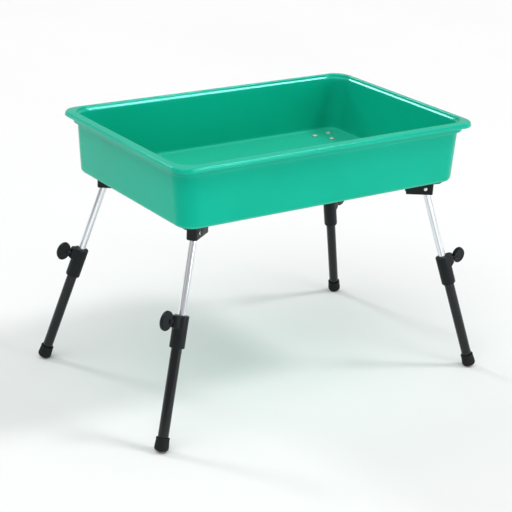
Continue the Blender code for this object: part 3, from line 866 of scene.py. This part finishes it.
inner_radius = tube_high.x
slot_half = inner_radius + TUBE_PLAY
channel_half = slot_half + CHEEK
plate_low = PIVOT_DROP - SEAT_GAP - PLATE
splay = math.acos(places[first]["leg"].col[2].z)
print(f"channel {2 * channel_half / MM:.1f} mm wide, leg leans {math.degrees(splay):.1f} degrees")


# %% The brackets
def wrapped(points):
    """A closed skin stretched round points."""
    shape = bmesh.new()
    for point in points:
        shape.verts.new(point)
    hull = bmesh.ops.convex_hull(shape, input=shape.verts)
    spare = [item for item in hull["geom_interior"] if isinstance(item, bmesh.types.BMVert)]
    bmesh.ops.delete(shape, geom=spare, context="VERTS")
    bmesh.ops.dissolve_limit(
        shape, angle_limit=math.radians(0.05), verts=shape.verts, edges=shape.edges
    )
    return mesh_from(shape)


def circle(radius, centre, height, steps=ROUND_STEPS):
    for step in range(steps):
        angle = 2 * math.pi * step / steps
        yield centre[0] + radius * math.cos(angle), centre[1] + radius * math.sin(angle), height


def plate_mesh():
    lobes = [(place, LOBE_RADIUS) for place in RIVET_PLACES[:2]]
    lobes.append(((NOSE_LOBE, 0), NOSE_LOBE_RADIUS))
    points = []
    for centre, radius in lobes:
        points += circle(radius - MOULD_EDGE, centre, plate_low)
        points += circle(radius, centre, plate_low + MOULD_EDGE)
        points += circle(radius, centre, plate_low + PLATE)
    return wrapped(points)


def channel_mesh():
    low = PIVOT_DROP - CHANNEL_DEPTH
    points = []
    for height, inset in ((low, MOULD_EDGE), (low + MOULD_EDGE, 0), (plate_low + PLATE / 2, 0)):
        half = channel_half - inset
        nose = CHANNEL_OUTWARD - CHANNEL_CORNER
        for side_y in (-1, 1):
            points.append((-CHANNEL_INWARD + inset, side_y * half, height))
            points += circle(CHANNEL_CORNER - inset, (nose, side_y * (half - CHANNEL_CORNER + inset)), height)
    return wrapped(points)


def slot_mesh():
    """The gap for the leg, extruded across the channel."""
    low = PIVOT_DROP - CHANNEL_DEPTH
    far = CHANNEL_INWARD + CHANNEL_CORNER
    stop = (inner_radius + SEAT_GAP) / math.cos(splay)
    below = low - CHANNEL_CORNER
    section = [
        (-far, plate_low), (stop + EYE_ROOM, plate_low),
        (stop + EYE_ROOM, plate_low - EYE_ROOM_HEIGHT),
        (stop, 0), (stop - below * math.tan(splay), below), (-far, below),
    ]
    shape = bmesh.new()
    face = shape.faces.new([shape.verts.new((x, -slot_half, z)) for x, z in section])
    moved = bmesh.ops.extrude_face_region(shape, geom=[face])
    raised = [item for item in moved["geom"] if isinstance(item, bmesh.types.BMVert)]
    bmesh.ops.translate(shape, verts=raised, vec=(0, 2 * slot_half, 0))
    return mesh_from(shape)


def bracket_mesh():
    holes = []
    for x, y in RIVET_PLACES:
        hole = rod_mesh(RIVET_HOLE, 0, 2 * PIVOT_DROP, steps=24)
        holes.append(turn_mesh(hole, 0, "Z", (x, y, 0)))
    pin_hole = turn_mesh(rod_mesh(PIN_HOLE, -2 * channel_half, 2 * channel_half, steps=24), math.pi / 2, "X")
    return shaped(plate_mesh(), [channel_mesh()], [slot_mesh(), pin_hole, *holes], CAST_EDGE)


for corner in CORNERS:
    place_piece(
        f"{corner}_cast_bracket", bracket_mesh(), places[corner]["upright"], NYLON,
        ROOT, f"{corner}_bracket",
    )
print("brackets:", len(CORNERS))

# %% [markdown]
# The rivets are blind rivets. The setting tool pulls a stem through each one and snaps it off, so a
# small hollow is left in the middle of the domed head. The pivot pins are plain pins with a domed
# head at both ends.

# %% Rivets and pivot pins
RIVET_RADIUS = 2 * MM
RIVET_HEAD = 6 * MM
RIVET_DOME = 1.9 * MM
RIVET_TAIL = 3.3 * MM
RIVET_TAIL_HEIGHT = 1.6 * MM
STEM_HOLLOW = 1.3 * MM
HOLLOW_ROUND = 0.2 * MM
HOLLOW_EDGE = 0.15 * MM
DOME_ROUND = 1.6 * MM
HEAD_ROUND = 0.5 * MM
HEAD_EDGE = 0.2 * MM
TAIL_ROUND = 0.5 * MM
TAIL_END_ROUND = 0.8 * MM
PIN_RADIUS = 2.25 * MM
PIN_HEAD = 3.3 * MM
PIN_HEAD_HEIGHT = 1.5 * MM
PIN_HEAD_SIDE = 0.5 * MM
PIN_DOME_ROUND = 0.9 * MM
PIN_HEAD_EDGE = 0.3 * MM
HEAD_STEPS = 40


def rivet_mesh():
    top = PIVOT_DROP + TUB_FLOOR + SEAT_HEIGHT + SEAT_GAP
    foot = plate_low - SEAT_GAP
    return turned_mesh(
        [
            (0, top + RIVET_DOME * 0.55),
            (STEM_HOLLOW * 0.8, top + RIVET_DOME * 0.55, HOLLOW_ROUND),
            (STEM_HOLLOW, top + RIVET_DOME, HOLLOW_EDGE),
            (RIVET_HEAD * 0.5, top + RIVET_DOME, DOME_ROUND),
            (RIVET_HEAD, top + RIVET_DOME * 0.35, HEAD_ROUND),
            (RIVET_HEAD, top, HEAD_EDGE),
            (RIVET_RADIUS, top),
            (RIVET_RADIUS, foot),
            (RIVET_TAIL, foot, TAIL_ROUND),
            (RIVET_TAIL * 0.75, foot - RIVET_TAIL_HEIGHT, TAIL_END_ROUND),
            (0, foot - RIVET_TAIL_HEIGHT),
        ],
        steps=HEAD_STEPS,
    )


def pin_mesh():
    half = channel_half + SEAT_GAP
    head = half + PIN_HEAD_HEIGHT
    upper = [
        (0, head),
        (PIN_HEAD * 0.6, head, PIN_DOME_ROUND),
        (PIN_HEAD, half + PIN_HEAD_SIDE, PIN_HEAD_EDGE),
        (PIN_HEAD, half),
        (PIN_RADIUS, half),
    ]
    lower = [(point[0], -point[1], *point[2:]) for point in reversed(upper)]
    return turn_mesh(turned_mesh(upper + lower, steps=HEAD_STEPS), math.pi / 2, "X")


for corner in CORNERS:
    upright = places[corner]["upright"]
    place_piece(
        f"{corner}_domed_pin", pin_mesh(), upright, STEEL, ROOT, f"{corner}_pivot_pin"
    )
    for number, (x, y) in enumerate(RIVET_PLACES, start=1):
        place_piece(
            f"{corner}_blind_rivet_{number}", rivet_mesh(),
            upright @ Matrix.Translation((x, y, 0)), STEEL, ROOT,
            f"{corner}_rivet_{number}",
        )
print("rivets:", len(CORNERS) * len(RIVET_PLACES))

# %% [markdown]
# A leg's upper half is a bright tube on a nylon knuckle. The knuckle is a round eye for the pin,
# with a plug that is pressed into the tube. The tube is cut square, and its ends are deburred to a
# small radius.

# %% Knuckles and inner tubes
TUBE_WALL = 1.2 * MM
PLUG_PLAY = 0.3 * MM
PLUG_LENGTH = 18 * MM
KNUCKLE_EDGE = 0.4 * MM
EYE_EDGE = 0.5 * MM
DEBURR = 0.25 * MM


def knuckle_mesh(tube_top):
    shoulder = tube_top + SEAT_GAP
    plug = inner_radius - TUBE_WALL - PLUG_PLAY
    post = turned_mesh([
        (0, 0),
        (inner_radius, 0),
        (inner_radius, shoulder, KNUCKLE_EDGE),
        (plug, shoulder),
        (plug, tube_top - PLUG_LENGTH, KNUCKLE_EDGE),
        (0, tube_top - PLUG_LENGTH),
    ])
    eye = turned_mesh([
        (0, inner_radius),
        (inner_radius, inner_radius, EYE_EDGE),
        (inner_radius, -inner_radius, EYE_EDGE),
        (0, -inner_radius),
    ])
    bore = rod_mesh(PIN_HOLE, -2 * inner_radius, 2 * inner_radius, steps=24)
    return shaped(
        post, [turn_mesh(eye, math.pi / 2, "X")], [turn_mesh(bore, math.pi / 2, "X")]
    )


def tube_mesh(radius, wall, high, low):
    """A tube with deburred ends."""
    return turned_mesh(
        [
            (radius, high, DEBURR), (radius, low, DEBURR),
            (radius - wall, low, DEBURR), (radius - wall, high, DEBURR),
        ],
        closed=True,
    )


for corner in CORNERS:
    leg = places[corner]["leg"]
    low, high = extent(f"{corner}_inner_tube", leg)
    place_piece(
        f"{corner}_pin_knuckle", knuckle_mesh(high.z), leg, NYLON,
        f"{corner}_upper_leg", f"{corner}_knuckle",
    )
    place_piece(
        f"{corner}_bright_tube", tube_mesh(high.x, TUBE_WALL, high.z, low.z), leg, ALUMINIUM,
        f"{corner}_upper_leg", f"{corner}_inner_tube",
    )
print(f"inner tubes run {(high.z - low.z) / MM:.1f} mm")

# %% [markdown]
# The lower half is a coated tube with a rubber foot. The foot is a cup with a soft bead at its
# mouth. Its sole is rounded, because the leg stands at a slant, and has two ring grooves for grip.
# The feet reach furthest out and down, so their meshes are turned into level axes, where the box
# round each one is tight, and kept a hair inside the working model's coarser rounds.

# %% Outer tubes and feet
OUTER_WALL = 1.5 * MM
FOOT_SOLE = 7.8 * MM
FOOT_WALL = 2.3 * MM
FOOT_EDGE = 5 * MM
FOOT_BULGE = 2 * MM
CUP_EDGE = 0.5 * MM
CUP_MOUTH_EDGE = 0.6 * MM
BEAD = 0.8 * MM
BEAD_DEPTH = 2.4 * MM
BEAD_STEP = 0.35 * MM
BEAD_STEP_DEPTH = 3.2 * MM
BEAD_EDGE = 0.5 * MM
TREAD_DEPTH = 0.9 * MM
TREAD_WIDTH = 0.8 * MM
TREAD_EDGE = 0.15 * MM
FOOT_TRIM = 0.05 * MM


def foot_mesh(low, high, cup):
    """The cup is turned from its inside, over its mouth and down its side to its sole."""
    radius = high.x - FOOT_TRIM
    sole = low.z + FOOT_TRIM
    mouth = cup + FOOT_WALL
    grooves = []
    for place in (radius * 0.52, radius * 0.3):
        grooves += [
            (place + TREAD_WIDTH / 2, sole, TREAD_EDGE),
            (place + TREAD_WIDTH / 2, sole + TREAD_DEPTH),
            (place - TREAD_WIDTH / 2, sole + TREAD_DEPTH),
            (place - TREAD_WIDTH / 2, sole, TREAD_EDGE),
        ]
    return turned_mesh([
        (0, low.z + FOOT_SOLE),
        (cup, low.z + FOOT_SOLE, CUP_EDGE),
        (cup, high.z, CUP_MOUTH_EDGE),
        (mouth, high.z, BEAD),
        (mouth, high.z - BEAD_DEPTH, BEAD_EDGE),
        (mouth - BEAD_STEP, high.z - BEAD_STEP_DEPTH, BEAD_EDGE),
        (radius, low.z + FOOT_EDGE * 1.6, FOOT_BULGE),
        (radius, sole, FOOT_EDGE),
        *grooves,
        (0, sole),
    ])


for corner in CORNERS:
    leg = places[corner]["leg"]
    low, high = extent(f"{corner}_outer_tube", leg)
    outer_radius = high.x
    place_piece(
        f"{corner}_coated_tube", tube_mesh(high.x, OUTER_WALL, high.z, low.z), leg, POWDER_COAT,
        f"{corner}_lower_leg", f"{corner}_outer_tube",
    )
    low, high = extent(f"{corner}_foot", leg)
    foot = foot_mesh(low, high, outer_radius + SEAT_GAP)
    foot.transform(leg.to_3x3().to_4x4())
    place_piece(
        f"{corner}_rubber_foot", foot, Matrix.Translation(leg.translation), RUBBER,
        f"{corner}_lower_leg", f"{corner}_foot",
    )
print(f"feet {2 * high.x / MM:.1f} mm across")

# %% [markdown]
# The collar is the moulded head of the outer tube. A boss stands out of its side for the clamp
# screw, and blends down into the collar below. The screw, its nut and the guide bush are hardly
# seen, so they stay as the working model has them and only take their metal or nylon.

# %% Collars
COLLAR_EDGE = 1.2 * MM
BOSS_RADIUS = 8 * MM
BOSS_REACH = 20 * MM
BOSS_LENGTH = 19 * MM
BOSS_TAPER = 6 * MM
BOSS_STEP = 0.4 * MM
WAY_PLAY = 0.2 * MM
SOCKET_EDGE = 0.4 * MM
BORE_EDGE = 0.6 * MM
SOCKET_LENGTH = 32 * MM
SCREW_HOLE = 3.3 * MM


def collar_mesh(low, high):
    """The collar in the leg's frame, with no boss yet."""
    radius = -low.y
    bore = inner_radius + WAY_PLAY
    socket = outer_radius + SEAT_GAP
    ledge = low.z + SOCKET_LENGTH
    return turned_mesh(
        [
            (radius, high.z, COLLAR_EDGE),
            (radius, low.z, COLLAR_EDGE),
            (socket, low.z, SOCKET_EDGE),
            (socket, ledge),
            (bore, ledge),
            (bore, high.z, BORE_EDGE),
        ],
        closed=True,
    )


def boss_mesh(drop, root):
    """The boss in the clamp's frame: X runs up the leg and Z outward."""
    upper = drop - BOSS_STEP
    lower = upper - BOSS_LENGTH
    points = []
    for middle, radius, height in (
        (BOSS_REACH - BOSS_RADIUS, BOSS_RADIUS - MOULD_EDGE, upper),
        (BOSS_REACH - BOSS_RADIUS, BOSS_RADIUS, upper - MOULD_EDGE),
        (BOSS_REACH - BOSS_RADIUS, BOSS_RADIUS, lower + MOULD_EDGE),
        (BOSS_REACH - BOSS_RADIUS, BOSS_RADIUS - MOULD_EDGE, lower),
        (0, root - MOULD_EDGE, upper),
        (0, root, upper - MOULD_EDGE),
        (0, root, lower - BOSS_TAPER),
    ):
        points += [(height, y, middle + z) for z, y, _ in circle(radius, (0, 0), 0)]
    return wrapped(points)


for corner in CORNERS:
    leg = places[corner]["leg"]
    clamp = places[corner]["clamp"]
    low, high = extent(f"{corner}_collar", leg)
    to_leg = leg.inverted() @ clamp
    drop = high.z - to_leg.translation.z
    boss = boss_mesh(drop, -low.y - 2 * COLLAR_EDGE)
    boss.transform(to_leg)
    way = rod_mesh(inner_radius + WAY_PLAY, low.z - MM, high.z + MM)
    socket = rod_mesh(outer_radius + SEAT_GAP, low.z - MM, low.z + SOCKET_LENGTH)
    screw_hole = rod_mesh(SCREW_HOLE, 0, 2 * BOSS_REACH, steps=24)
    screw_hole.transform(to_leg)
    head = shaped(collar_mesh(low, high), [boss], [way, socket, screw_hole])
    place_piece(
        f"{corner}_moulded_collar", head, leg, NYLON, f"{corner}_lower_leg",
        f"{corner}_collar",
    )
print(f"collars {-2 * low.y / MM:.1f} mm across")

# %% [markdown]
# The knob is an oval paddle on edge, with a short round neck. Finger and thumb press on its two
# faces, which are dished a little, inside a rounded border.

# %% Knobs
KNOB_TURNS = {"front_left": -6, "front_right": 25, "back_left": 0, "back_right": 15}  # degrees
PADDLE_LENGTH = 34 * MM
PADDLE_WIDTH = 24 * MM
PADDLE_THICKNESS = 8.5 * MM
PADDLE_EDGE = 3 * MM
PADDLE_BORDER = 3.6 * MM
PADDLE_DISH = 0.5 * MM
DISH_RAMP = 2 * MM
DISH_ROUND = 4 * MM
BORDER_ROUND = 1.2 * MM
NECK_RADIUS = 5.8 * MM
NECK_EDGE = 0.6 * MM


def knob_mesh():
    """The knob in the clamp's frame, standing on its neck along Z."""
    half = PADDLE_THICKNESS / 2
    radius = PADDLE_LENGTH / 2
    face = [
        (0, half - PADDLE_DISH),
        (radius - PADDLE_BORDER - DISH_RAMP, half - PADDLE_DISH, DISH_ROUND),
        (radius - PADDLE_BORDER, half, BORDER_ROUND),
        (radius, half, PADDLE_EDGE),
    ]
    back = [(point[0], -point[1], *point[2:]) for point in reversed(face)]
    paddle = turned_mesh(face + back)
    paddle.transform(Matrix.Diagonal((1, PADDLE_WIDTH / PADDLE_LENGTH, 1, 1)))
    neck_face = BOSS_REACH + SEAT_GAP
    turn_mesh(paddle, math.pi / 2, "X", (0, 0, neck_face + PADDLE_WIDTH / 2))
    neck = turned_mesh([
        (0, neck_face + PADDLE_WIDTH / 3),
        (NECK_RADIUS, neck_face + PADDLE_WIDTH / 3),
        (NECK_RADIUS, neck_face, NECK_EDGE),
        (0, neck_face),
    ])
    return shaped(paddle, [neck])


for corner in CORNERS:
    turned_clamp = places[corner]["clamp"] @ Matrix.Rotation(math.radians(KNOB_TURNS[corner]), 4, "Z")
    place_piece(
        f"{corner}_paddle_knob", knob_mesh(), turned_clamp, NYLON,
        f"{corner}_clamp", f"{corner}_knob",
    )
    for part, material in (("guide_bush", NYLON), ("clamp_nut", STEEL), ("clamp_screw", STEEL)):
        node = frame["nodes"][f"{corner}_{part}"]
        node.data.materials.clear()
        node.data.materials.append(material)
print("knobs:", len(KNOB_TURNS))

# %% [markdown]
# The studio is plain: a wide pale floor under a soft grey sky that brightens overhead. A wide disc
# overhead fills evenly. Two small discs, to the right and behind, are mirrored in every rounded edge
# as the thin bright lines along the rim: an edge that runs front to back shows the right one, and an
# edge that runs along the length shows the one behind. A low soft box in front lights the front wall.

# %% The studio floor
FLOOR_SIZE = 40
MOTTLE_SPACING = 600 * MM


def studio_paint():
    material, tree, place = new_material("studio_floor_white")
    mottle = add(
        tree, "ShaderNodeTexNoise",
        {"Scale": repeats(MOTTLE_SPACING), "Detail": 2}, {"Vector": place},
    )
    tint = add(
        tree, "ShaderNodeMix",
        {6: colour("#E6E6E6"), 7: colour("#EAEAEA")}, {0: mottle.outputs["Fac"]}, data_type="RGBA",
    )
    finish_material(tree, {"Roughness": 0.9}, {"Base Color": tint.outputs[2]})
    return material


shape = bmesh.new()
bmesh.ops.create_grid(shape, x_segments=1, y_segments=1, size=FLOOR_SIZE / 2)
ground = mesh_from(shape)
ground.materials.append(studio_paint())
studio_floor = loose_object("studio_floor", ground)
print("studio floor", FLOOR_SIZE, "m across")

# %% The lights
HORIZON_GREY = 0.45
ZENITH_GREY = 0.65
RIGHT_DISC_PLACE = Vector((1.6, -0.9, 2.8))  # of a far disc, only the direction matters
RIGHT_DISC_POWER = 0.9
BACK_DISC_PLACE = Vector((-0.9, 2.3, 2.2))
BACK_DISC_POWER = 0.65
DISC_ANGLE = math.radians(12)
TOP_DISC_PLACE = Vector((-1.1, -0.6, 2.6))
TOP_DISC_POWER = 1.0
TOP_DISC_ANGLE = math.radians(60)
BOX_PLACE = Vector((1.6, -3.4, 0.95))
BOX_SIZE = 1.3
BOX_POWER = 34
AIM = Vector((0, 0, 0.4))

sky = bpy.data.worlds.new("studio_sky")
sky.use_nodes = True
background = sky.node_tree.nodes["Background"]
direction = add(sky.node_tree, "ShaderNodeTexCoord").outputs["Generated"]
height = add(sky.node_tree, "ShaderNodeSeparateXYZ", links={"Vector": direction}).outputs["Z"]
grey = add(
    sky.node_tree, "ShaderNodeMapRange",
    {"From Min": 0.0, "From Max": 1.0, "To Min": HORIZON_GREY, "To Max": ZENITH_GREY},
    {"Value": height},
)
sky.node_tree.links.new(grey.outputs["Result"], background.inputs["Color"])
bpy.context.scene.world = sky
bpy.context.scene.view_settings.view_transform = "Standard"


def add_light(name, kind, place, **settings):
    light = bpy.data.lights.new(name, kind)
    for setting, value in settings.items():
        setattr(light, setting, value)
    lamp = bpy.data.objects.new(name, light)
    lamp.location = place
    lamp.rotation_euler = (AIM - place).to_track_quat("-Z", "Y").to_euler()
    bpy.context.scene.collection.objects.link(lamp)


add_light("right_disc", "SUN", RIGHT_DISC_PLACE, angle=DISC_ANGLE, energy=RIGHT_DISC_POWER)
add_light("back_disc", "SUN", BACK_DISC_PLACE, angle=DISC_ANGLE, energy=BACK_DISC_POWER)
add_light("top_disc", "SUN", TOP_DISC_PLACE, angle=TOP_DISC_ANGLE, energy=TOP_DISC_POWER)
add_light("front_box", "AREA", BOX_PLACE, shape="DISK", size=BOX_SIZE, energy=BOX_POWER)
print("the far discs span", round(math.degrees(DISC_ANGLE)), "degrees")
